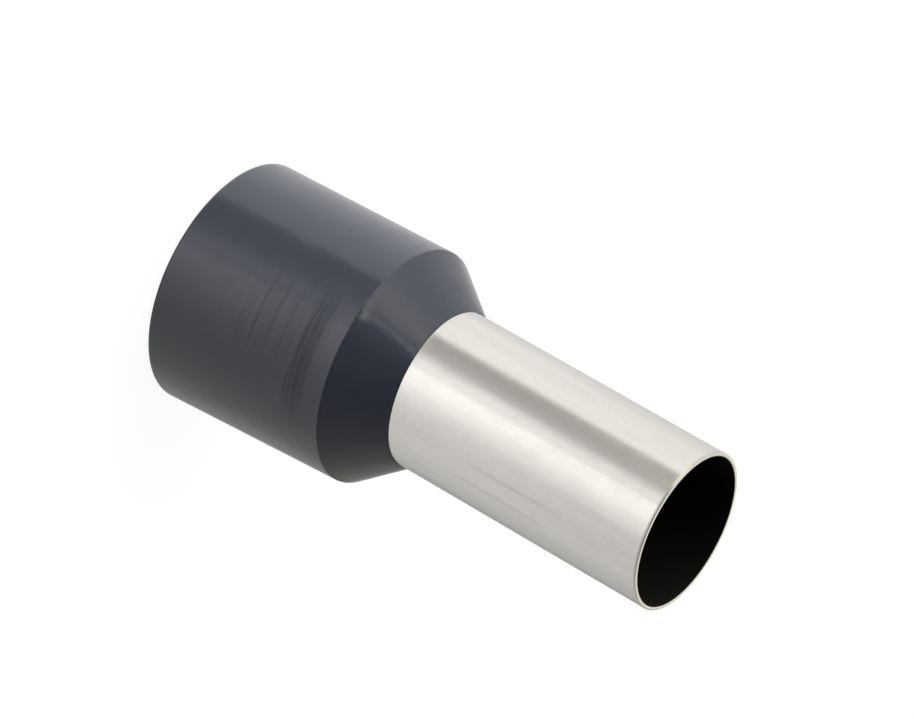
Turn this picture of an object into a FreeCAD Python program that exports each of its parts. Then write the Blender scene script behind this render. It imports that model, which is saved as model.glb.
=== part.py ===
import FreeCAD, Part
import math
import os
import Sketcher

# Insulated wire ferrule: a thin metal sleeve, flared at its rear, in a moulded collar.
# The part stands on the collar's open rim. The origin is the rim's centre, +Z runs up
# the collar to the sleeve's mouth, and +X is the way that the sleeve leans.

VECTOR = FreeCAD.Vector
CLOSE = 1e-4

# Driving dimensions in millimetres, angles in degrees
DRIVING = [
    ("sleeve_bore", 8.4, "inside diameter of the sleeve, for the stripped conductor"),
    ("sleeve_wall", 0.2, "wall of the sleeve"),
    ("sleeve_length", 16.0, "sleeve from the collar's lip to the mouth"),
    ("sleeve_lean", 2.4, "angle between the sleeve and the collar"),
    ("mouth_tilt", 1.8, "how far the cut at the mouth is out of square"),
    ("bend_start", 0.1, "height above the lip at which the sleeve's flare begins"),
    ("flare_cover", 0.6, "part of the collar's inner cone that the flare covers"),
    ("flare_play", 0.05, "room round the flare's rear edge"),
    ("collar_length", 14.0, "collar from its rim to its lip"),
    ("insulation_bore", 12.5, "inside diameter of the collar, for the wire's insulation"),
    ("rim_wall", 0.52, "wall of the collar at its rim"),
    ("shoulder_wall", 0.38, "wall of the collar at its shoulder"),
    ("cone_angle", 37.0, "angle between the nose and the collar's axis"),
    ("seat_wall", 0.5, "wall of the nose where the flare seats in it"),
    ("funnel_wall", 0.75, "wall of the nose behind the flare"),
    ("lip_width", 0.05, "wall of the collar where it ends on the sleeve"),
    ("seat_clearance", 0.01, "play between the collar and the sleeve"),
    ("rim_round", 0.12, "radius on both edges of the rim"),
    ("shoulder_round", 0.25, "radius on the shoulder"),
]

# Sizes that follow from the driving ones
FOLLOWING = [
    ("bore_radius", "sleeve_bore / 2"),
    ("sleeve_radius", "bore_radius + sleeve_wall"),
    ("neck_radius", "sleeve_radius + seat_clearance"),
    ("lip_radius", "neck_radius + lip_width"),
    ("inner_radius", "insulation_bore / 2"),
    ("rim_radius", "inner_radius + rim_wall"),
    ("shoulder_radius", "inner_radius + shoulder_wall"),
    ("nose_length", "(shoulder_radius - lip_radius) / tan(cone_angle)"),
    ("seat_depth", "seat_wall + bend_start * sin(cone_angle) - lip_width * cos(cone_angle)"),
    ("seat_bend", "seat_depth / (1 - cos(cone_angle))"),
    ("bend_radius", "seat_bend + seat_clearance"),
    ("bend_reach", "sleeve_radius + bend_radius * (1 - cos(cone_angle))"),
    ("flare_radius", "bend_reach + flare_cover * (inner_radius - bend_reach)"),
    ("seat_reach", "flare_radius + flare_play"),
    ("funnel_depth", "(inner_radius - lip_radius) / tan(cone_angle) + funnel_wall / sin(cone_angle)"),
    ("bore_depth", "collar_length - funnel_depth"),
]


def make_sheet(doc):
    """The spreadsheet that every sketch and feature reads."""
    sheet = doc.addObject("Spreadsheet::Sheet", "Sizes")
    row = 1
    for alias, value, note in DRIVING:
        sheet.set("A%d" % row, note)
        sheet.set("B%d" % row, str(value))
        sheet.setAlias("B%d" % row, alias)
        row += 1
    for alias, formula in FOLLOWING:
        sheet.set("A%d" % row, "follows")
        sheet.set("B%d" % row, "=" + formula)
        sheet.setAlias("B%d" % row, alias)
        row += 1
    doc.recompute()
    return sheet


def make_body(doc, name):
    body = doc.addObject("PartDesign::Body", name)
    body.Label = name
    return body


def origin_plane(body, role):
    return next(item for item in body.Origin.OriginFeatures if item.Role == role)


def make_sketch(body, name, role="XZ_Plane"):
    """A sketch on one of the body's own origin planes."""
    sketch = body.newObject("Sketcher::SketchObject", name)
    sketch.AttachmentSupport = (origin_plane(body, role), [""])
    sketch.MapMode = "FlatFace"
    return sketch


def lean(sketch):
    """Puts the sketch's origin at the lip's centre and turns its vertical axis along the sleeve."""
    # Seen along the sketch's normal, which is -Y, a lean towards +X is clockwise
    sketch.AttachmentOffset = FreeCAD.Placement(VECTOR(0, 1, 0), FreeCAD.Rotation(VECTOR(0, 0, 1), -1))
    sketch.setExpression("AttachmentOffset.Base.y", "Sizes.collar_length")
    sketch.setExpression("AttachmentOffset.Rotation.Angle", "-Sizes.sleeve_lean")


def draw_outline(sketch, corners):
    """Straight edges from corner to corner, closed: each one's end, 2, meets the next one's start, 1."""
    edges = []
    for start, end in zip(corners, corners[1:] + corners[:1]):
        edges.append(sketch.addGeometry(Part.LineSegment(start, end)))
    for edge, following in zip(edges, edges[1:] + edges[:1]):
        sketch.addConstraint(Sketcher.Constraint("Coincident", edge, 2, following, 1))
    return edges


def size(sketch, expression, kind, *where):
    """A dimension that the spreadsheet drives."""
    value = float(sketch.evalExpression(expression))
    if kind == "Angle":
        value = math.radians(value)
    number = sketch.addConstraint(Sketcher.Constraint(kind, *where, value))
    sketch.setExpression("Constraints[%d]" % number, expression)


def hold(sketch, *rules):
    """Adds constraints that have no size."""
    for rule in rules:
        sketch.addConstraint(Sketcher.Constraint(*rule))


def revolve(body, sketch, name):
    """One full turn about the sketch's vertical axis."""
    turned = body.newObject("PartDesign::Revolution", name)
    turned.Profile = sketch
    turned.ReferenceAxis = (sketch, ["V_Axis"])
    turned.Angle = 360


def groove(doc, body, sketch, name):
    """Takes one full turn of the sketch off the body."""
    before = body.Shape.Volume
    cut = body.newObject("PartDesign::Groove", name)
    cut.Profile = sketch
    cut.ReferenceAxis = (sketch, ["V_Axis"])
    cut.Angle = 360
    doc.recompute()
    if not body.Shape.Volume < before:
        raise RuntimeError("%s took nothing off" % name)


def round_edges(body, name, edges, expression):
    """Rounds the named edges of the body so far."""
    rounding = body.newObject("PartDesign::Fillet", name)
    rounding.Base = (rounding.BaseFeature, edges)
    rounding.setExpression("Radius", expression)


def circles_at(shape, test):
    """The names of the round edges whose centre and radius pass the test."""
    names = []
    for number, edge in enumerate(shape.Edges, start=1):
        if edge.Curve.TypeId == "Part::GeomCircle" and test(edge.Curve.Center, edge.Curve.Radius):
            names.append("Edge%d" % number)
    return names


def make_sleeve(doc, read):
    """Thin tube, flared at its rear and cut off at the mouth, turned about its own leaning axis."""
    body = make_body(doc, "metal_sleeve")
    section = make_sketch(body, "wall_section")
    lean(section)

    inside = read("bore_radius")
    outside = read("sleeve_radius")
    stock_top = read("sleeve_length") + outside
    bend_top = read("bend_start")
    angle = math.radians(read("cone_angle"))
    bend = read("bend_radius")
    along = VECTOR(math.sin(angle), -math.cos(angle), 0)
    across = VECTOR(-math.cos(angle), -math.sin(angle), 0)
    centre = VECTOR(outside + bend, bend_top, 0)
    bend_end = centre + across * bend
    flare_end = bend_end + along * ((read("flare_radius") - bend_end.x) / along.x)
    flare_inner = flare_end + across * read("sleeve_wall")
    inner_bend_end = bend_end + across * read("sleeve_wall")

    mouth_inside = VECTOR(inside, stock_top, 0)
    mouth_outside = VECTOR(outside, stock_top, 0)

    mouth = section.addGeometry(Part.LineSegment(mouth_inside, mouth_outside))
    outer = section.addGeometry(Part.LineSegment(mouth_outside, VECTOR(outside, bend_top, 0)))
    outer_bend = section.addGeometry(bend_arc(centre, bend, angle))
    outer_flare = section.addGeometry(Part.LineSegment(flare_end, bend_end))
    rear = section.addGeometry(Part.LineSegment(flare_end, flare_inner))
    inner_flare = section.addGeometry(Part.LineSegment(flare_inner, inner_bend_end))
    inner_bend = section.addGeometry(bend_arc(centre, outside + bend - inside, angle))
    inner = section.addGeometry(Part.LineSegment(VECTOR(inside, bend_top, 0), mouth_inside))
    hold(
        section,
        ("Coincident", mouth, 2, outer, 1),
        ("Tangent", outer, 2, outer_bend, 1),
        ("Tangent", outer_bend, 2, outer_flare, 2),
        ("Coincident", outer_flare, 1, rear, 1),
        ("Coincident", rear, 2, inner_flare, 1),
        ("Tangent", inner_flare, 2, inner_bend, 2),
        ("Tangent", inner_bend, 1, inner, 1),
        ("Coincident", inner, 2, mouth, 1),
        ("Coincident", outer_bend, 3, inner_bend, 3),
        ("Horizontal", mouth),
        ("Vertical", outer),
        ("Vertical", inner),
        ("Perpendicular", outer_flare, rear),
        ("Parallel", outer_flare, inner_flare),
    )
    size(section, "Sizes.bore_radius", "DistanceX", -1, 1, inner, 1)
    size(section, "Sizes.sleeve_radius", "DistanceX", -1, 1, outer, 2)
    size(section, "Sizes.sleeve_length + Sizes.sleeve_radius", "DistanceY", -1, 1, mouth, 1)
    size(section, "Sizes.bend_start", "DistanceY", -1, 1, outer_bend, 3)
    size(section, "Sizes.bend_radius", "Radius", outer_bend)
    size(section, "Sizes.cone_angle + 90", "Angle", outer_flare)
    size(section, "Sizes.flare_radius", "DistanceX", -1, 1, outer_flare, 1)
    revolve(body, section, "tube")
    doc.recompute()

    stock = body.Shape.Volume
    cut_mouth(body, read)
    doc.recompute()
    if not body.Shape.Volume < stock:
        raise RuntimeError("the mouth's cut took nothing off")
    return body


def bend_arc(centre, radius, angle):
    """A bend's arc: it starts level with its centre, on the left, and turns down and out by the angle."""
    return Part.ArcOfCircle(Part.Circle(centre, VECTOR(0, 0, 1), radius), math.pi, math.pi + angle)


def cut_mouth(body, read):
    """Takes off all that stands above the slanting plane of the mouth."""
    sketch = make_sketch(body, "mouth_plane")
    lean(sketch)
    half = 2 * read("sleeve_radius")
    length = read("sleeve_length")
    rise = half * math.tan(math.radians(read("mouth_tilt")))
    corners = [
        VECTOR(-half, length - rise, 0),
        VECTOR(half, length + rise, 0),
        VECTOR(half, length + half, 0),
        VECTOR(-half, length + half, 0),
    ]
    plane, right, top, left = draw_outline(sketch, corners)
    middle = sketch.addGeometry(Part.Point(VECTOR(0, length, 0)), True)
    hold(
        sketch,
        ("PointOnObject", middle, 1, -2),
        ("PointOnObject", middle, 1, plane),
        ("Vertical", right),
        ("Horizontal", top),
        ("Vertical", left),
    )
    size(sketch, "Sizes.sleeve_length", "DistanceY", -1, 1, middle, 1)
    size(sketch, "Sizes.mouth_tilt", "Angle", plane)
    size(sketch, "2 * Sizes.sleeve_radius", "DistanceX", -1, 1, right, 1)
    size(sketch, "4 * Sizes.sleeve_radius", "DistanceX", top, 2, top, 1)
    size(sketch, "Sizes.sleeve_length + 2 * Sizes.sleeve_radius", "DistanceY", -1, 1, top, 1)
    cut = body.newObject("PartDesign::Pocket", "mouth")
    cut.Profile = sketch
    cut.Type = "ThroughAll"
    cut.SideType = "Symmetric"


def make_collar(doc, read):
    """Tapered barrel with a conical nose, hollowed out for the wire and for the sleeve's flare."""
    body = make_body(doc, "insulating_collar")
    revolve(body, draw_moulding(body, read), "moulding")
    doc.recompute()
    groove(doc, body, draw_wire_space(body, read), "wire_space")
    groove(doc, body, draw_seat(body, read), "sleeve_seat")
    rims = circles_at(body.Shape, lambda middle, radius: abs(middle.z) < CLOSE)
    round_edges(body, "rim_edges", rims, "Sizes.rim_round")
    return body


def draw_moulding(body, read):
    """Half the collar's outline, from the rim up the tapered barrel and over the shoulder to the lip."""
    sketch = make_sketch(body, "outline")
    length = read("collar_length")
    radius = read("shoulder_round")
    nose_angle = math.radians(read("cone_angle"))
    rim_corner = VECTOR(read("rim_radius"), 0, 0)
    shoulder_corner = VECTOR(read("shoulder_radius"), length - read("nose_length"), 0)
    lip_corner = VECTOR(read("lip_radius"), length, 0)
    top = VECTOR(0, length, 0)
    up_barrel = (shoulder_corner - rim_corner).normalize()
    up_nose = (lip_corner - shoulder_corner).normalize()
    barrel_angle = math.atan2(-up_barrel.x, up_barrel.y)
    back = radius * math.tan((nose_angle - barrel_angle) / 2)
    barrel_end = shoulder_corner - up_barrel * back
    nose_start = shoulder_corner + up_nose * back
    centre = barrel_end - VECTOR(math.cos(barrel_angle), math.sin(barrel_angle), 0) * radius
    turn = Part.Circle(centre, VECTOR(0, 0, 1), radius)

    rim = sketch.addGeometry(Part.LineSegment(VECTOR(0, 0, 0), rim_corner))
    barrel = sketch.addGeometry(Part.LineSegment(rim_corner, barrel_end))
    shoulder = sketch.addGeometry(Part.ArcOfCircle(turn, barrel_angle, nose_angle))
    nose = sketch.addGeometry(Part.LineSegment(nose_start, lip_corner))
    lip = sketch.addGeometry(Part.LineSegment(lip_corner, top))
    axis = sketch.addGeometry(Part.LineSegment(top, VECTOR(0, 0, 0)))
    corner = sketch.addGeometry(Part.Point(shoulder_corner), True)
    hold(
        sketch,
        ("Coincident", rim, 1, -1, 1),
        ("Coincident", rim, 2, barrel, 1),
        ("Tangent", barrel, 2, shoulder, 1),
        ("Tangent", shoulder, 2, nose, 1),
        ("Coincident", nose, 2, lip, 1),
        ("Coincident", lip, 2, axis, 1),
        ("Coincident", axis, 2, rim, 1),
        ("Horizontal", rim),
        ("Horizontal", lip),
        ("Vertical", axis),
        ("PointOnObject", corner, 1, barrel),
        ("PointOnObject", corner, 1, nose),
    )
    size(sketch, "Sizes.rim_radius", "DistanceX", -1, 1, rim, 2)
    size(sketch, "Sizes.shoulder_radius", "DistanceX", -1, 1, corner, 1)
    size(sketch, "Sizes.lip_radius", "DistanceX", -1, 1, nose, 2)
    size(sketch, "Sizes.collar_length", "DistanceY", -1, 1, lip, 2)
    size(sketch, "Sizes.shoulder_round", "Radius", shoulder)
    size(sketch, "Sizes.cone_angle + 90", "Angle", nose)
    return sketch


def draw_wire_space(body, read):
    """The straight bore for the wire's insulation and the funnel above it, about the collar's axis."""
    sketch = make_sketch(body, "wire_space_outline")
    radius = read("inner_radius")
    below = -read("rim_wall")
    bore_end = read("bore_depth")
    narrow = read("sleeve_radius")
    funnel_end = bore_end + (radius - narrow) / math.tan(math.radians(read("cone_angle")))
    corners = [
        VECTOR(0, below, 0),
        VECTOR(radius, below, 0),
        VECTOR(radius, bore_end, 0),
        VECTOR(narrow, funnel_end, 0),
        VECTOR(0, funnel_end, 0),
    ]
    mouth, bore, funnel, top, axis = draw_outline(sketch, corners)
    hold(
        sketch,
        ("PointOnObject", axis, 2, -2),
        ("Horizontal", mouth),
        ("Vertical", bore),
        ("Horizontal", top),
        ("Vertical", axis),
    )
    size(sketch, "Sizes.rim_wall", "DistanceY", mouth, 1, -1, 1)
    size(sketch, "Sizes.inner_radius", "DistanceX", -1, 1, bore, 1)
    size(sketch, "Sizes.bore_depth", "DistanceY", -1, 1, bore, 2)
    size(sketch, "Sizes.cone_angle + 90", "Angle", funnel)
    size(sketch, "Sizes.sleeve_radius", "DistanceX", -1, 1, funnel, 2)
    return sketch


def draw_seat(body, read):
    """The neck and the seat of the sleeve's flare, about the sleeve's leaning axis."""
    sketch = make_sketch(body, "seat_outline")
    lean(sketch)
    neck = read("neck_radius")
    bend = read("seat_bend")
    bend_top = read("bend_start")
    reach = read("seat_reach")
    above = read("sleeve_radius")
    below = -read("funnel_depth")
    angle = math.radians(read("cone_angle"))
    centre = VECTOR(neck + bend, bend_top, 0)
    bend_end = centre - VECTOR(math.cos(angle), math.sin(angle), 0) * bend
    seat_end = VECTOR(reach, bend_end.y - (reach - bend_end.x) / math.tan(angle), 0)

    top = sketch.addGeometry(Part.LineSegment(VECTOR(0, above, 0), VECTOR(neck, above, 0)))
    hole = sketch.addGeometry(Part.LineSegment(VECTOR(neck, above, 0), VECTOR(neck, bend_top, 0)))
    turn = sketch.addGeometry(bend_arc(centre, bend, angle))
    seat = sketch.addGeometry(Part.LineSegment(seat_end, bend_end))
    side = sketch.addGeometry(Part.LineSegment(seat_end, VECTOR(reach, below, 0)))
    bottom = sketch.addGeometry(Part.LineSegment(VECTOR(reach, below, 0), VECTOR(0, below, 0)))
    axis = sketch.addGeometry(Part.LineSegment(VECTOR(0, below, 0), VECTOR(0, above, 0)))
    hold(
        sketch,
        ("Coincident", top, 2, hole, 1),
        ("Tangent", hole, 2, turn, 1),
        ("Tangent", turn, 2, seat, 2),
        ("Coincident", seat, 1, side, 1),
        ("Coincident", side, 2, bottom, 1),
        ("Coincident", bottom, 2, axis, 1),
        ("Coincident", axis, 2, top, 1),
        ("PointOnObject", axis, 1, -2),
        ("Horizontal", top),
        ("Vertical", hole),
        ("Vertical", side),
        ("Horizontal", bottom),
        ("Vertical", axis),
    )
    size(sketch, "Sizes.neck_radius", "DistanceX", -1, 1, hole, 2)
    size(sketch, "Sizes.sleeve_radius", "DistanceY", -1, 1, top, 1)
    size(sketch, "Sizes.bend_start", "DistanceY", -1, 1, turn, 3)
    size(sketch, "Sizes.seat_bend", "Radius", turn)
    size(sketch, "Sizes.cone_angle + 90", "Angle", seat)
    size(sketch, "Sizes.seat_reach", "DistanceX", -1, 1, side, 1)
    size(sketch, "Sizes.funnel_depth", "DistanceY", bottom, 2, -1, 1)
    return sketch


def check(doc, bodies):
    """Every object is up to date and every piece is one valid solid."""
    for item in doc.Objects:
        if "Invalid" in item.State or "Error" in item.State:
            raise RuntimeError("%s failed: %s" % (item.Name, item.State))
        if item.TypeId == "Sketcher::SketchObject" and not item.FullyConstrained:
            raise RuntimeError("sketch %s is not fully constrained" % item.Name)
    for body in bodies:
        shape = body.Shape
        if shape.isNull() or not shape.isValid() or len(shape.Solids) != 1:
            raise RuntimeError("%s is not one valid solid" % body.Label)


def main():
    os.makedirs("parts", exist_ok=True)
    doc = FreeCAD.newDocument("wire_ferrule")
    sheet = make_sheet(doc)

    def read(alias):
        return float(sheet.get(alias))

    bodies = [make_sleeve(doc, read), make_collar(doc, read)]
    doc.recompute()
    check(doc, bodies)
    for body in bodies:
        box = body.Shape.BoundBox
        print(
            "%s: %.2f mm3, z %.3f to %.3f, x %.3f to %.3f"
            % (body.Label, body.Shape.Volume, box.ZMin, box.ZMax, box.XMin, box.XMax)
        )
        body.Shape.exportStep("parts/%s.step" % body.Label)


main()
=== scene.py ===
import math

import bmesh
import bpy
from mathutils import Matrix, Vector


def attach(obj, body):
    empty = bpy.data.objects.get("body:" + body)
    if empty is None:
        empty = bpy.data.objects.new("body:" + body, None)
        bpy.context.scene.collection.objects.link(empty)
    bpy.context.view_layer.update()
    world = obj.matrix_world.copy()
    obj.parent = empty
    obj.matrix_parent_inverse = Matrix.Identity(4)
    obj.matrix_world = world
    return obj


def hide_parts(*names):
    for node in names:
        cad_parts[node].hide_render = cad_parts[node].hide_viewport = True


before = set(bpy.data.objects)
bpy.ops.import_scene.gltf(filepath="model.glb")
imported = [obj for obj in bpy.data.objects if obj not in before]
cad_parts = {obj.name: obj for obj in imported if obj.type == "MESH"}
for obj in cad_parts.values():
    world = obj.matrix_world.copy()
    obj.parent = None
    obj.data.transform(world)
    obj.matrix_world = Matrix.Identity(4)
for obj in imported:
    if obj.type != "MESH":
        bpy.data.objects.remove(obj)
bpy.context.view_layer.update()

print("frame loaded")

mm = 0.001
smoothAngle = math.radians(35)  # sharper edges than this stay sharp in the shading

# the ferrule stands on the collar's rim and its sleeve leans towards +X
leanAngle = math.radians(2.4)
lipCentre = Vector((0, 0, 14 * mm))
sleeveAxis = Vector((math.sin(leanAngle), 0, math.cos(leanAngle)))

# the side that faces the camera, anticlockwise from +X seen from above
cameraAzimuth = math.radians(-83)


def sideDirection(angle):
    # angle in degrees from the camera's side, anticlockwise seen from above
    turn = cameraAzimuth + math.radians(angle)
    return Vector((math.cos(turn), math.sin(turn), 0))


cameraSettings = {
    "place": (30.415 * mm, -248.574 * mm, 137.783 * mm),
    "right": (-0.502449, 0.332437, 0.798142),
    "up": (-0.856892, -0.314511, -0.408435),
    "lens": 213.18,
    "sensor": 36.0,
    "clip": (0.01, 20),
}


def makeCamera(settings):
    bpy.ops.object.camera_add()
    camera = bpy.context.object
    camera.name = "photoCamera"
    right = Vector(settings["right"]).normalized()
    up = Vector(settings["up"])
    up = (up - right * up.dot(right)).normalized()
    turned = Matrix((right, up, right.cross(up))).transposed()
    camera.matrix_world = Matrix.Translation(settings["place"]) @ turned.to_4x4()
    camera.data.lens = settings["lens"]
    camera.data.sensor_width = settings["sensor"]
    camera.data.sensor_fit = "HORIZONTAL"
    camera.data.clip_start, camera.data.clip_end = settings["clip"]
    bpy.context.scene.camera = camera


makeCamera(cameraSettings)
bpy.context.scene.view_settings.view_transform = "Standard"
print("camera set")


def toLinear(hexCode):
    parts = [int(hexCode[i:i + 2], 16) / 255 for i in (0, 2, 4)]
    return tuple(c / 12.92 if c <= 0.04045 else ((c + 0.055) / 1.055) ** 2.4 for c in parts) + (1,)


def addNode(tree, kind, inputs=None, stops=None, **settings):
    node = tree.nodes.new(kind)
    for name, value in settings.items():
        setattr(node, name, value)
    if stops:
        elements = node.color_ramp.elements
        elements[0].position, elements[1].position = stops[0][0], stops[-1][0]
        for stop in stops[1:-1]:
            elements.new(stop[0])
        for element, stop in zip(elements, stops):
            element.color = (stop[1], stop[1], stop[1], 1)
    for key, value in (inputs or {}).items():
        socket = node.inputs[key]
        if isinstance(value, bpy.types.NodeSocket):
            tree.links.new(value, socket)
        else:
            socket.default_value = value
    return node


def newMaterial(name):
    material = bpy.data.materials.new(name)
    material.use_nodes = True
    material.node_tree.nodes.clear()
    return material, material.node_tree


# a turned wall is a chain of rings, each extruded from the last: radius, centre and tilt
def startRing(name, station, sides):
    radius, centre, tilt = station
    bpy.ops.object.select_all(action="DESELECT")
    bpy.ops.mesh.primitive_circle_add(vertices=sides, radius=radius, location=centre)
    piece = bpy.context.object
    piece.name = name
    piece.data.name = name
    bpy.ops.object.transform_apply(location=True, rotation=True, scale=True)
    bpy.ops.object.mode_set(mode="EDIT")
    bpy.ops.mesh.select_all(action="SELECT")
    return piece


def addRings(stations):
    for before, after in zip(stations, stations[1:]):
        step = after[1] - before[1]
        bpy.ops.mesh.extrude_region_move(TRANSFORM_OT_translate={"value": step})
        grow = after[0] / before[0]
        bpy.ops.transform.resize(value=(grow, grow, grow), center_override=after[1])
        turn = after[2] - before[2]
        if turn:
            bpy.ops.transform.rotate(value=-turn, orient_axis="Y", center_override=after[1])


ringTolerance = 0.002 * mm


def selectRing(piece, height, radius):
    # the edges of the upright ring at this height and radius
    bpy.ops.mesh.select_all(action="DESELECT")
    bpy.ops.mesh.select_mode(type="EDGE")
    mesh = bmesh.from_edit_mesh(piece.data)
    for edge in mesh.edges:
        edge.select_set(all(
            abs(v.co.z - height * mm) < ringTolerance
            and abs(math.hypot(v.co.x, v.co.y) - radius * mm) < ringTolerance
            for v in edge.verts))
    mesh.select_flush_mode()
    bmesh.update_edit_mesh(piece.data)


print("helpers ready")


# the collar: a moulded barrel with a conical nose, in millimetres and degrees
collarSizes = {
    "sides": 288,
    "rimRadius": 6.77,
    "shoulderRadius": 6.63,
    "boreRadius": 6.25,
    "length": 14.0,
    "coneAngle": 37.0,
    "lipRadius": 4.46,
    "lipBore": 4.422,
    "boreDepth": 10.378,
    "funnelTop": 10.85,
    # the lip stands off the sleeve a little more on this side
    "lipShift": 0.018,
    "lipShiftAngle": -65,
    # rounded edges: radius and segments
    "rimRound": (0.2, 6),
    "rimInnerRound": (0.12, 4),
    "shoulderRound": (0.04, 4),
    "lipRound": (0.006, 2),
    # heights of the rings that carry the shading, and their distances from the shoulder
    "barrelRings": (0, 0.3, 0.6, 1.5, 3, 5, 7, 9),
    "shoulderRings": (0.4, 0.16),
    "noseRings": (11.6, 12.1, 12.7, 13.3, 13.8),
    "boreRings": (10.1, 6, 2, 0.3, 0),
    "mergeDistance": 0.001,
    # the seat of the flare, about the leaning sleeve's axis
    "neckRadius": 4.41,
    "seatBend": 2.584,
    "seatStart": 0.1,
    "seatSteps": 8,
    "recessRadius": 5.769,
    "recessDepth": 0.09,
}


def seatProfile(sizes):
    # radius and depth below the lip: a bend, a straight part at the nose's angle, a short recess
    angle, bend = math.radians(sizes["coneAngle"]), sizes["seatBend"]
    profile = []
    for step in range(1, sizes["seatSteps"] + 1):
        part = angle * step / sizes["seatSteps"]
        radius = sizes["neckRadius"] + bend * (1 - math.cos(part))
        depth = bend * math.sin(part) - sizes["seatStart"]
        profile.append((radius, depth))
    recess = sizes["recessRadius"]
    depth += (recess - radius) / math.tan(angle)
    return profile + [(recess, depth), (recess, depth + sizes["recessDepth"])]


def makeCollar(sizes):
    slope = math.tan(math.radians(sizes["coneAngle"]))
    length, rim, bore = sizes["length"], sizes["rimRadius"], sizes["boreRadius"]
    shoulder = length - (sizes["shoulderRadius"] - sizes["lipRadius"]) / slope
    far, near = sizes["shoulderRings"]
    outside = []
    for height in (*sizes["barrelRings"], shoulder - far, shoulder - near, shoulder):
        outside.append((rim + (sizes["shoulderRadius"] - rim) * height / shoulder, height))
    for height in (shoulder + near, *sizes["noseRings"], length):
        outside.append((sizes["lipRadius"] + (length - height) * slope, height))
    stations = [(radius * mm, Vector((0, 0, height * mm)), 0) for radius, height in outside]
    shift = sideDirection(sizes["lipShiftAngle"]) * sizes["lipShift"] * mm
    stations.append((sizes["lipBore"] * mm, lipCentre + shift, 0))
    for radius, depth in seatProfile(sizes):
        stations.append((radius * mm, lipCentre - sleeveAxis * depth * mm, leanAngle))
    funnel = bore - (sizes["funnelTop"] - sizes["boreDepth"]) * slope
    inside = [(funnel, sizes["funnelTop"]), (bore, sizes["boreDepth"])]
    inside += [(bore, height) for height in sizes["boreRings"]] + [(rim, 0)]
    stations += [(radius * mm, Vector((0, 0, height * mm)), 0) for radius, height in inside]
    collar = startRing("collarMoulding", stations[0], sizes["sides"])
    addRings(stations)
    bpy.ops.mesh.select_all(action="SELECT")
    bpy.ops.mesh.remove_doubles(threshold=sizes["mergeDistance"] * mm)
    bpy.ops.mesh.normals_make_consistent(inside=False)
    for height, radius, (offset, segments) in (
        (0, rim, sizes["rimRound"]),
        (0, bore, sizes["rimInnerRound"]),
        (shoulder, sizes["shoulderRadius"], sizes["shoulderRound"]),
        (length, sizes["lipRadius"], sizes["lipRound"]),
    ):
        selectRing(collar, height, radius)
        bpy.ops.mesh.bevel(offset=offset * mm, segments=segments, affect="EDGES")
    bpy.ops.object.mode_set(mode="OBJECT")
    bpy.ops.object.shade_smooth_by_angle(angle=smoothAngle)
    return collar


collar = makeCollar(collarSizes)
print("collar modelled")


# the sleeve: a thin drawn tube with a flare inside the collar, in millimetres and degrees
sleeveSizes = {
    "sides": 288,
    "radius": 4.4,
    "wall": 0.2,
    "length": 16.0,
    "mouthTilt": 1.8,
    "mouthRound": (0.018, 3),  # radius and segments
    "mouthEdge": 60,  # edges sharper than this are rounded
    "flareAngle": 37.0,
    "flareRadius": 5.719,
    "bendRadius": 2.594,
    "bendStart": 0.1,
    "bendSteps": 8,
    "tubeRings": (0.5, 2, 4, 6, 8, 10, 12, 14, 15),
    "pastMouth": 1,  # the tube is made longer by this, then cut
    "mouthRings": (0.06, 0.2),  # distances from the cut
}


def makeSleeve(sizes):
    angle = math.radians(sizes["flareAngle"])
    bend, radius, start = sizes["bendRadius"], sizes["radius"], sizes["bendStart"]
    flare, length = sizes["flareRadius"], sizes["length"]
    bendEnd = (radius + bend * (1 - math.cos(angle)), start - bend * math.sin(angle))
    rear = bendEnd[1] - (flare - bendEnd[0]) / math.tan(angle)
    profile = [(flare, rear), ((flare + bendEnd[0]) / 2, (rear + bendEnd[1]) / 2)]
    for step in range(sizes["bendSteps"]):
        part = angle * (1 - step / sizes["bendSteps"])
        profile.append((radius + bend * (1 - math.cos(part)), start - bend * math.sin(part)))
    # the last ring stands past the mouth, which is cut at a slight tilt
    heights = (start, *sizes["tubeRings"], length + sizes["pastMouth"])
    profile += [(radius, height) for height in heights]
    stations = [(r * mm, lipCentre + Vector((0, 0, height * mm)), 0) for r, height in profile]
    sleeve = startRing("sleeveTube", stations[0], sizes["sides"])
    addRings(stations)
    bpy.ops.mesh.select_all(action="SELECT")
    bpy.ops.mesh.normals_make_consistent(inside=False)
    tilt = math.radians(sizes["mouthTilt"])
    # the cut, then two more rings close to it that keep the tube's shading straight up to its edge
    for back in (0, *sizes["mouthRings"]):
        bpy.ops.mesh.select_all(action="SELECT")
        bpy.ops.mesh.bisect(
            plane_co=lipCentre + Vector((0, 0, (length - back) * mm)),
            plane_no=(-math.sin(tilt), 0, math.cos(tilt)),
            clear_outer=back == 0,
            use_fill=False,
        )
    bpy.ops.mesh.select_all(action="SELECT")
    bpy.ops.transform.rotate(value=-leanAngle, orient_axis="Y", center_override=lipCentre)
    bpy.ops.object.mode_set(mode="OBJECT")
    bpy.ops.object.modifier_add(type="SOLIDIFY")
    wall = sleeve.modifiers[-1]
    wall.thickness = sizes["wall"] * mm
    wall.offset = -1
    wall.use_even_offset = True
    bpy.ops.object.modifier_apply(modifier=wall.name)
    bpy.ops.object.modifier_add(type="BEVEL")
    edges = sleeve.modifiers[-1]
    edges.width = sizes["mouthRound"][0] * mm
    edges.segments = sizes["mouthRound"][1]
    edges.limit_method = "ANGLE"
    edges.angle_limit = math.radians(sizes["mouthEdge"])
    bpy.ops.object.modifier_apply(modifier=edges.name)
    bpy.ops.object.shade_smooth_by_angle(angle=smoothAngle)
    return sleeve


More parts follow.
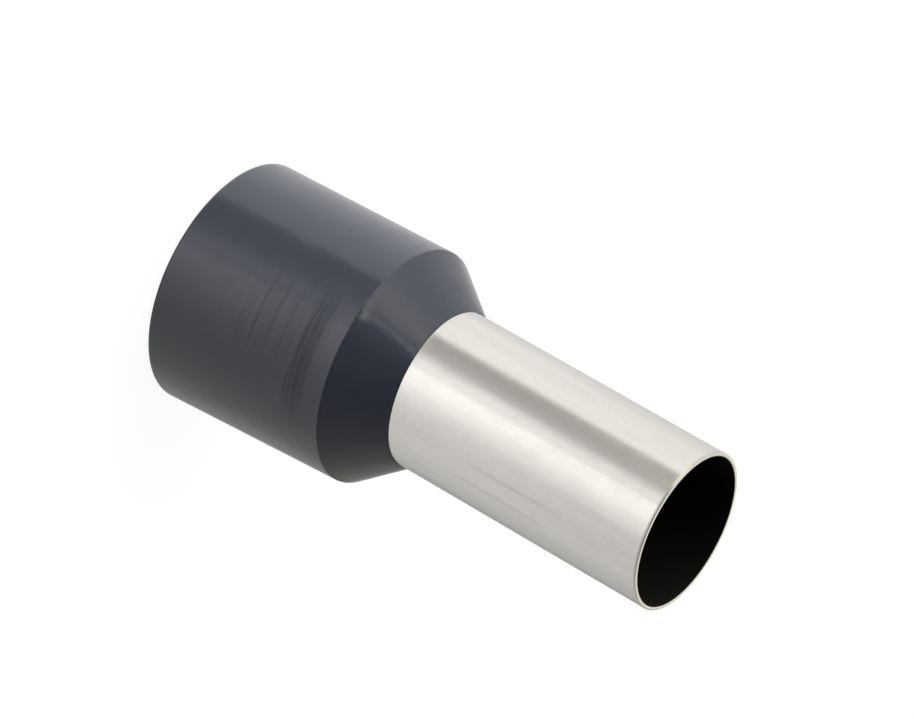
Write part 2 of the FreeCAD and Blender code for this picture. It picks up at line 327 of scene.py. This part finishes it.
sleeve = makeSleeve(sleeveSizes)
print("sleeve modelled")

# nearly all of a noise lies in this span, which each pattern spreads over its own range
noiseSpan = {"From Min": 0.3, "From Max": 0.7}


def softLine(tree, place, mark, fade):
    # a soft line along the tube as a factor: its side, half width, lower and upper height
    angle, width, low, high = mark
    outer, inner = fade
    along = sideDirection(angle)
    across = addNode(tree, "ShaderNodeVectorMath", {
        0: place, 1: (-along.y, along.x, 0)}, operation="DOT_PRODUCT").outputs["Value"]
    facing = addNode(tree, "ShaderNodeVectorMath", {
        0: place, 1: along}, operation="DOT_PRODUCT").outputs["Value"]
    offset = addNode(tree, "ShaderNodeMath", {0: across}, operation="ABSOLUTE").outputs[0]
    factor = addNode(tree, "ShaderNodeMath", {
        0: facing, 1: 0.0}, operation="GREATER_THAN").outputs[0]
    height = addNode(tree, "ShaderNodeSeparateXYZ", {0: place}).outputs["Z"]
    for value, start, end in (
        (offset, width, 0),
        (height, low - outer, low + inner),
        (height, high + outer, high - inner),
    ):
        part = addNode(tree, "ShaderNodeMapRange", {
            "Value": value, "From Min": start * mm, "From Max": end * mm,
        }, interpolation_type="SMOOTHSTEP").outputs[0]
        factor = addNode(tree, "ShaderNodeMath", {
            0: factor, 1: part}, operation="MULTIPLY").outputs[0]
    return factor


tinFinish = {
    "colour": "CFCCC8",
    "roughness": (0.16, 0.21),
    # pitch in mm across and along the tube, drawn coarser than real draw lines so that they show
    "lines": (0.3, 0.3, 5),
    "bands": (1.1, 1.1, 9),
    "drawnRoughness": 0.55,
    "cloud": 0.9,
    "mottle": 0.16,
    # darkest and lightest factor on the colour
    "lineTone": (0.978, 1.01),
    "bandTone": (0.955, 1.03),
    "mottleTone": (0.975, 1.01),
    "reliefDepth": 0.002,
    "cloudRelief": 0.7,
    # marks of the die: side, half width, lower and upper height, strength
    "dieMarks": (
        (34, 0.16, 19.9, 24.0, 0.13),
        (48.5, 0.17, 19.0, 23.4, 0.13),
        (20, 0.5, 21, 27, 0.02),
    ),
    "dieMarkFade": (1.5, 1),
}


def makeTin(finish):
    # tin plating over drawn copper: satin, warm white, with soft lines along the tube from the die
    material, tree = newMaterial("tinPlatedDrawnCopper")
    place = addNode(tree, "ShaderNodeTexCoord").outputs["Object"]
    straight = addNode(tree, "ShaderNodeMapping", {
        "Vector": place,
        "Location": (lipCentre.z * math.sin(leanAngle), 0, 0),
        "Rotation": (0, -leanAngle, 0),
    }).outputs[0]
    drawn = []
    for pitch in (finish["lines"], finish["bands"]):
        scaled = addNode(tree, "ShaderNodeMapping", {
            "Vector": straight, "Scale": [1 / (size * mm) for size in pitch]}).outputs[0]
        drawn.append(addNode(tree, "ShaderNodeTexNoise", {
            "Vector": scaled, "Scale": 1, "Detail": 3, "Roughness": finish["drawnRoughness"],
        }).outputs[0])
    lines, bands = drawn
    cloud, mottle = [addNode(tree, "ShaderNodeTexNoise", {
        "Vector": place, "Scale": 1 / (finish[size] * mm), "Detail": 3,
    }).outputs[0] for size in ("cloud", "mottle")]
    low, high = finish["bandTone"]
    tone = addNode(tree, "ShaderNodeMapRange", {
        **noiseSpan, "Value": bands, "To Min": low, "To Max": high}).outputs[0]
    for pattern, (low, high) in ((lines, finish["lineTone"]), (mottle, finish["mottleTone"])):
        part = addNode(tree, "ShaderNodeMapRange", {
            **noiseSpan, "Value": pattern, "To Min": low, "To Max": high}).outputs[0]
        tone = addNode(tree, "ShaderNodeMath", {0: tone, 1: part}, operation="MULTIPLY").outputs[0]
    for *mark, strength in finish["dieMarks"]:
        line = softLine(tree, straight, mark, finish["dieMarkFade"])
        dark = addNode(tree, "ShaderNodeMath", {
            0: line, 1: -strength, 2: 1.0}, operation="MULTIPLY_ADD").outputs[0]
        tone = addNode(tree, "ShaderNodeMath", {0: tone, 1: dark}, operation="MULTIPLY").outputs[0]
    colour = addNode(tree, "ShaderNodeVectorMath", {
        0: toLinear(finish["colour"])[:3], "Scale": tone}, operation="SCALE").outputs[0]
    low, high = finish["roughness"]
    rough = addNode(tree, "ShaderNodeMapRange", {
        **noiseSpan, "Value": cloud, "To Min": low, "To Max": high}).outputs[0]
    relief = addNode(tree, "ShaderNodeMath", {
        0: cloud, 1: finish["cloudRelief"], 2: lines}, operation="MULTIPLY_ADD").outputs[0]
    bump = addNode(tree, "ShaderNodeBump", {
        "Height": relief, "Strength": 1.0, "Distance": finish["reliefDepth"] * mm}).outputs[0]
    surface = addNode(tree, "ShaderNodeBsdfPrincipled", {
        "Base Color": colour, "Metallic": 1.0, "Roughness": rough, "Normal": bump})
    addNode(tree, "ShaderNodeOutputMaterial", {"Surface": surface.outputs[0]})
    return material


# painted shade for the bore: a near-black colour in place of the dark that falls inside the deep tube
paintedShadeBoreFinish = {
    "colour": "110F0C",
    "roughness": (0.7, 0.9),
    "specular": 0.25,
    "blotch": 1.5,
    # the bore's faces: near the axis, turned towards it, above the flare
    "within": 4.25,
    "turned": -0.5,
    "above": -0.5,
}


def makePaintedShadeBore(finish):
    # the unpolished inside of the tube, painted near black: painted shade standing in for the dark
    # deep in the bore, whose real tin is as bright as the outside
    material, tree = newMaterial("paintedShadeTubeBore")
    place = addNode(tree, "ShaderNodeTexCoord").outputs["Object"]
    blotch = addNode(tree, "ShaderNodeTexNoise", {
        "Vector": place, "Scale": 1 / (finish["blotch"] * mm), "Detail": 3}).outputs[0]
    low, high = finish["roughness"]
    rough = addNode(tree, "ShaderNodeMapRange", {
        "Value": blotch, "To Min": low, "To Max": high}).outputs[0]
    surface = addNode(tree, "ShaderNodeBsdfPrincipled", {
        "Base Color": toLinear(finish["colour"]),
        "Roughness": rough,
        "Specular IOR Level": finish["specular"],
    })
    addNode(tree, "ShaderNodeOutputMaterial", {"Surface": surface.outputs[0]})
    return material


plasticFinish = {
    "colour": "4A5063",
    "index": 1.52,
    "roughness": (0.12, 0.17),
    "tone": (0.95, 1.05),
    # pitches in mm: the skin's grain is drawn coarser than the real one so that it shows
    "grain": 0.3,
    "grainDepth": 0.006,
    "blotch": 2.0,
    "wave": 4.0,
    "waveDepth": 0.07,
    "barrelRadius": 6.7,
    # rubbed into the barrel: the side, how far it is full and where it ends, in degrees,
    # then height and depth in mm
    "rubbedRings": (4, 6, 26, (
        (3, 0), (3.6, 0.0081), (3.78, 0.0072), (4.02, 0.0121), (4.41, 0.0043), (4.77, 0.0105),
        (5.1, 0.0021), (5.28, 0.0073), (5.43, 0.0083), (5.67, 0.0124), (5.76, 0.0109), (5.97, 0.0002),
        (6, 0), (6.15, 0.0102), (6.42, 0.0062), (6.57, 0.0069), (6.87, 0.0053), (6.96, 0.0075),
        (7.14, 0.016), (7.5, 0.0014), (7.65, 0.0031), (7.83, 0.0026), (7.95, 0.0102), (8.01, 0.0121),
        (8.19, 0.0083), (8.31, 0.0123), (8.46, 0.0098), (8.61, 0.0106), (8.7, 0.0096), (8.73, 0.0085),
        (8.79, 0.0029), (8.85, 0),
    )),
    "wornBand": (10, 3, 42, (
        (8.67, 0), (8.73, 0.0019), (8.76, 0.0038), (8.88, 0.0153), (8.97, 0.0182), (9, 0.0199),
        (9.12, 0.0322), (9.15, 0.0347), (9.24, 0.0393), (9.27, 0.0415), (9.48, 0.064), (9.54, 0.0699),
        (9.72, 0.0829), (9.81, 0.0903), (9.9, 0.0959), (10, 0.098), (10.3, 0.092), (11.2, 0),
    )),
    # finer rings between them: pitch across and along the barrel, depth, heights of their fades
    "fineRing": (9, 9, 0.12),
    "fineDepth": 0.012,
    "fineHeights": (4.5, 7, 9.2, 9.8),
    # pale scuffs on the cone: side, height, half width, strength
    "scuffs": (
        (-14.2, 11.5, 0.42, 0.6),
        (-16.2, 11.36, 0.34, 0.36),
        (-19.6, 11.26, 0.5, 0.3),
        (-12.6, 11.3, 0.3, 0.24),
        (-15.0, 11.9, 0.5, 0.12),
        (-15.0, 12.4, 0.4, 0.08),
    ),
    "scuffColour": "A3A6A2",
    "scuffRadius": 6.5,  # how far from the axis they lie
    "scuffRoughness": 0.4,
    "scuffGrain": 0.22,
    "scuffBreaks": (0.35, 0.65, 0.45),  # lower and upper noise, and what is left in a break
    # specks of dust: pitch in mm, then core, edge and strength
    "speckCell": 2.2,
    "speck": (0.01, 0.035, 0.3),
}


def rubbedRelief(tree, place, mark, radius):
    # depth in mm by height, and how far each side has it
    side, full, end, levels = mark
    low, high = levels[0][0], levels[-1][0]
    height = addNode(tree, "ShaderNodeSeparateXYZ", {0: place}).outputs["Z"]
    upwards = addNode(tree, "ShaderNodeMapRange", {
        "Value": height, "From Min": low * mm, "From Max": high * mm}).outputs[0]
    depth = addNode(tree, "ShaderNodeValToRGB", {0: upwards}, stops=[
        ((level - low) / (high - low), value) for level, value in levels]).outputs[0]
    facing = addNode(tree, "ShaderNodeVectorMath", {
        0: place, 1: sideDirection(side)}, operation="DOT_PRODUCT").outputs["Value"]
    near, far = [radius * mm * math.cos(math.radians(angle)) for angle in (full, end)]
    patch = addNode(tree, "ShaderNodeMapRange", {
        "Value": facing, "From Min": far, "From Max": near,
    }, interpolation_type="SMOOTHSTEP").outputs[0]
    return depth, patch


def makePlastic(finish):
    # injection-moulded polypropylene, slate coloured: satin skin, rubbed rings, small pale scuffs
    material, tree = newMaterial("mouldedPolypropylene")
    place = addNode(tree, "ShaderNodeTexCoord").outputs["Object"]
    height = addNode(tree, "ShaderNodeSeparateXYZ", {0: place}).outputs["Z"]
    grain, blotch, wave = [addNode(tree, "ShaderNodeTexNoise", {
        "Vector": place, "Scale": 1 / (finish[size] * mm), "Detail": 2,
    }).outputs[0] for size in ("grain", "blotch", "wave")]

    radius = finish["barrelRadius"]
    rings, ringPatch = rubbedRelief(tree, place, finish["rubbedRings"], radius)
    band, bandPatch = rubbedRelief(tree, place, finish["wornBand"], radius)
    scaled = addNode(tree, "ShaderNodeMapping", {
        "Vector": place, "Scale": [1 / (size * mm) for size in finish["fineRing"]]}).outputs[0]
    fine = addNode(tree, "ShaderNodeTexNoise", {
        "Vector": scaled, "Scale": 1, "Detail": 2}).outputs[0]
    first, fullFrom, fullTo, last = finish["fineHeights"]
    for start, stop in ((first, fullFrom), (last, fullTo)):
        part = addNode(tree, "ShaderNodeMapRange", {
            "Value": height, "From Min": start * mm, "From Max": stop * mm,
        }, interpolation_type="SMOOTHSTEP").outputs[0]
        fine = addNode(tree, "ShaderNodeMath", {0: fine, 1: part}, operation="MULTIPLY").outputs[0]
    depth = finish["fineDepth"]
    fine = addNode(tree, "ShaderNodeMath", {0: fine, 1: depth}, operation="MULTIPLY").outputs[0]
    rings = addNode(tree, "ShaderNodeMath", {0: rings, 1: fine}, operation="ADD").outputs[0]
    relief = addNode(tree, "ShaderNodeMath", {
        0: rings, 1: ringPatch}, operation="MULTIPLY").outputs[0]
    relief = addNode(tree, "ShaderNodeMath", {
        0: band, 1: bandPatch, 2: relief}, operation="MULTIPLY_ADD").outputs[0]

    # broken up scuffs, and a few specks of dust
    cells = addNode(tree, "ShaderNodeTexVoronoi", {
        "Vector": place, "Scale": 1 / (finish["speckCell"] * mm)}).outputs["Distance"]
    core, edge, strength = finish["speck"]
    pale = addNode(tree, "ShaderNodeMapRange", {
        "Value": cells, "From Min": core, "From Max": edge, "To Min": strength, "To Max": 0.0,
    }).outputs[0]
    for angle, level, half, strength in finish["scuffs"]:
        centre = sideDirection(angle) * finish["scuffRadius"] * mm + Vector((0, 0, level * mm))
        away = addNode(tree, "ShaderNodeVectorMath", {
            0: place, 1: centre}, operation="DISTANCE").outputs["Value"]
        scuff = addNode(tree, "ShaderNodeMapRange", {
            "Value": away, "From Min": half * mm, "From Max": 0.0, "To Max": strength,
        }, interpolation_type="SMOOTHSTEP").outputs[0]
        pale = addNode(tree, "ShaderNodeMath", {0: pale, 1: scuff}, operation="MAXIMUM").outputs[0]
    low, high, left = finish["scuffBreaks"]
    broken = addNode(tree, "ShaderNodeTexNoise", {
        "Vector": place, "Scale": 1 / (finish["scuffGrain"] * mm), "Detail": 3}).outputs[0]
    broken = addNode(tree, "ShaderNodeMapRange", {
        "Value": broken, "From Min": low, "From Max": high, "To Min": left}).outputs[0]
    pale = addNode(tree, "ShaderNodeMath", {0: pale, 1: broken}, operation="MULTIPLY").outputs[0]

    low, high = finish["tone"]
    tone = addNode(tree, "ShaderNodeMapRange", {
        **noiseSpan, "Value": blotch, "To Min": low, "To Max": high}).outputs[0]
    slate = addNode(tree, "ShaderNodeVectorMath", {
        0: toLinear(finish["colour"])[:3], "Scale": tone}, operation="SCALE").outputs[0]
    colour = addNode(tree, "ShaderNodeMix", {
        "Factor": pale, "A": slate, "B": toLinear(finish["scuffColour"])}, data_type="RGBA")
    low, high = finish["roughness"]
    rough = addNode(tree, "ShaderNodeMapRange", {
        **noiseSpan, "Value": grain, "To Min": low, "To Max": high}).outputs[0]
    rough = addNode(tree, "ShaderNodeMath", {
        0: pale, 1: finish["scuffRoughness"], 2: rough}, operation="MULTIPLY_ADD").outputs[0]
    bump = addNode(tree, "ShaderNodeBump", {
        "Height": wave, "Strength": 1.0, "Distance": finish["waveDepth"] * mm}).outputs[0]
    # the relief is a depth, so it is inverted
    bump = addNode(tree, "ShaderNodeBump", {
        "Height": relief, "Strength": 1.0, "Distance": mm, "Normal": bump}, invert=True).outputs[0]
    bump = addNode(tree, "ShaderNodeBump", {
        "Height": grain, "Strength": 1.0, "Distance": finish["grainDepth"] * mm, "Normal": bump,
    }).outputs[0]
    surface = addNode(tree, "ShaderNodeBsdfPrincipled", {
        "Base Color": colour.outputs["Result"],
        "Roughness": rough,
        "IOR": finish["index"],
        "Normal": bump,
    })
    addNode(tree, "ShaderNodeOutputMaterial", {"Surface": surface.outputs[0]})
    return material


def paintFaces(piece, material, test=None):
    piece.data.materials.append(material)
    number = len(piece.data.materials) - 1
    for face in piece.data.polygons:
        if test is None or test(face):
            face.material_index = number


def insideBore(face):
    offset = face.center - lipCentre
    height = offset.dot(sleeveAxis)
    outwards = offset - sleeveAxis * height
    return (
        outwards.length < paintedShadeBoreFinish["within"] * mm
        and face.normal.dot(outwards) < paintedShadeBoreFinish["turned"] * outwards.length
        and height > paintedShadeBoreFinish["above"] * mm
    )


paintFaces(collar, makePlastic(plasticFinish))
paintFaces(sleeve, makeTin(tinFinish))
# the bore's inner faces get the painted shade
paintFaces(sleeve, makePaintedShadeBore(paintedShadeBoreFinish), insideBore)
print("materials made")

for piece, node, slot in (
    (collar, "insulating_collar", "slate_polypropylene"),
    (sleeve, "metal_sleeve", "tinned_copper"),
):
    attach(piece, "root")
    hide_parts(node)


# a plain studio: the table and the walls as brightness by the angle from the camera's side
studio = {
    "floorRadius": 3.0,
    "floorSides": 96,
    "floorGrey": 0.45,
    "floorDrop": 0.02,  # mm, keeps the floor clear of the rim's underside
    "floorGlow": 0.92,  # what the camera sees of the floor: a glow, and a dim grey for the shadow
    "floorDim": 0.2,
    # by the direction's height: from the table to the walls
    "blend": (-0.42, -0.12),
    # the near part of the table, lower down, is brighter
    "nearTable": (-0.47, -0.7, 1.12),
    # and close under the ferrule it is in shade
    "tableShade": (-0.74, -0.95, 0.3),
    "tableTint": (1.0, 1.0, 0.98),
    "wallsTint": (1.03, 1.0, 0.88),
    "table": (
        (-180, 0.6), (-150, 0.97), (-120, 1.3), (-90, 1.38), (-74, 1.36), (-69, 1.4), (-63, 0.48),
        (-50, 0.52), (-36, 0.78), (-24, 1.42), (-19, 1.44), (-15, 1.32), (-11, 1.8), (0, 1.72),
        (10, 1.58), (20, 1.36), (40, 1.02), (60, 0.92), (100, 0.85), (140, 0.64), (160, 0.42),
        (180, 0.6),
    ),
    "walls": (
        (-180, 1.2), (-165, 0.6), (-120, 0.87), (-100, 0.83), (-80, 1.1), (-60, 1.68), (-45, 1.25),
        (-43, 0.85), (-30, 0.2), (0, 0.0), (40, 0.02), (60, 0.08), (90, 0.24), (120, 0.46),
        (150, 0.42), (166, 0.26), (180, 1.2),
    ),
    "brightest": 2.0,  # a ramp stops at 1, so it holds each brightness as a part of this
}


def makeFloor(settings):
    bpy.ops.object.select_all(action="DESELECT")
    bpy.ops.mesh.primitive_circle_add(
        vertices=settings["floorSides"],
        radius=settings["floorRadius"],
        fill_type="NGON",
        location=(0, 0, -settings["floorDrop"] * mm),
    )
    floor = bpy.context.object
    floor.name = "floor"
    floor.visible_glossy = False
    material, tree = newMaterial("paleFloor")
    path = addNode(tree, "ShaderNodeLightPath").outputs["Is Camera Ray"]
    lit, dim = [addNode(tree, "ShaderNodeBsdfDiffuse", {
        "Color": (settings[grey],) * 3 + (1,)}).outputs[0] for grey in ("floorGrey", "floorDim")]
    glow = addNode(tree, "ShaderNodeEmission", {
        "Color": (1, 1, 1, 1), "Strength": settings["floorGlow"]}).outputs[0]
    seen = addNode(tree, "ShaderNodeAddShader", {0: dim, 1: glow}).outputs[0]
    both = addNode(tree, "ShaderNodeMixShader", {0: path, 1: lit, 2: seen}).outputs[0]
    addNode(tree, "ShaderNodeOutputMaterial", {"Surface": both})
    floor.data.materials.append(material)


def makeWorld(settings):
    world = bpy.data.worlds.new("studioWorld")
    bpy.context.scene.world = world
    world.use_nodes = True
    tree = world.node_tree
    tree.nodes.clear()
    direction = addNode(tree, "ShaderNodeTexCoord").outputs["Generated"]
    turned = addNode(tree, "ShaderNodeMapping", {
        "Vector": direction, "Rotation": (0, 0, -cameraAzimuth)}).outputs[0]
    around = addNode(tree, "ShaderNodeTexGradient", {
        "Vector": turned}, gradient_type="RADIAL").outputs[1]
    brightest = settings["brightest"]
    sides = []
    for part in ("table", "walls"):
        ramp = addNode(tree, "ShaderNodeValToRGB", {0: around}, stops=[
            (0.5 + angle / 360, value / brightest) for angle, value in settings[part]]).outputs[0]
        sides.append(addNode(tree, "ShaderNodeVectorMath", {
            0: ramp, 1: settings[part + "Tint"]}, operation="MULTIPLY").outputs[0])
    below, above = sides
    height = addNode(tree, "ShaderNodeSeparateXYZ", {0: direction}).outputs["Z"]
    for start, full, gain in (settings["nearTable"], settings["tableShade"]):
        part = addNode(tree, "ShaderNodeMapRange", {
            "Value": height, "From Min": start, "From Max": full, "To Min": 1.0, "To Max": gain,
        }).outputs[0]
        below = addNode(tree, "ShaderNodeVectorMath", {
            0: below, "Scale": part}, operation="SCALE").outputs[0]
    low, high = settings["blend"]
    upwards = addNode(tree, "ShaderNodeMapRange", {
        "Value": height, "From Min": low, "From Max": high}).outputs[0]
    mixed = addNode(tree, "ShaderNodeMix", {
        "Factor": upwards, "A": below, "B": above}, data_type="RGBA").outputs["Result"]
    room = addNode(tree, "ShaderNodeBackground", {"Color": mixed, "Strength": brightest}).outputs[0]
    white = addNode(tree, "ShaderNodeBackground", {
        "Color": (1, 1, 1, 1), "Strength": 1.0}).outputs[0]
    path = addNode(tree, "ShaderNodeLightPath").outputs["Is Camera Ray"]
    both = addNode(tree, "ShaderNodeMixShader", {0: path, 1: room, 2: white}).outputs[0]
    addNode(tree, "ShaderNodeOutputWorld", {"Surface": both})


makeFloor(studio)
makeWorld(studio)

# upright panels: first and last angle from the camera's side, foot and head as elevations,
# distance in metres; the low fill only adds soft light and leaves no reflection
panels = {
    "stripLight": {
        "from": -37, "to": -32, "foot": 25, "head": 60,
        "radiance": 1.4, "distance": 0.4, "mirrored": True,
    },
    "lowFill": {
        "from": -110, "to": -50, "foot": -2, "head": 8,
        "radiance": 5.2, "distance": 0.4, "mirrored": False,
    },
}
panelCentre = 15 * mm  # the elevations are seen from the ferrule's middle


def makePanel(name, settings):
    towards = sideDirection((settings["from"] + settings["to"]) / 2)
    half = math.radians((settings["to"] - settings["from"]) / 2)
    away = settings["distance"]
    foot, head = [away * math.tan(math.radians(settings[end])) for end in ("foot", "head")]
    middle = Vector((0, 0, (foot + head) / 2 + panelCentre))
    bpy.ops.object.light_add(type="AREA", location=towards * away + middle)
    lamp = bpy.context.object
    lamp.name = name
    lamp.rotation_mode = "QUATERNION"
    lamp.rotation_quaternion = towards.to_track_quat("Z", "Y")
    lamp.data.shape = "RECTANGLE"
    lamp.data.size = 2 * away * math.tan(half)
    lamp.data.size_y = head - foot
    # a panel's power is its radiance times pi times its area
    lamp.data.energy = settings["radiance"] * math.pi * lamp.data.size * lamp.data.size_y
    lamp.visible_camera = False
    lamp.visible_glossy = settings["mirrored"]


for name, settings in panels.items():
    makePanel(name, settings)
print("studio lit")
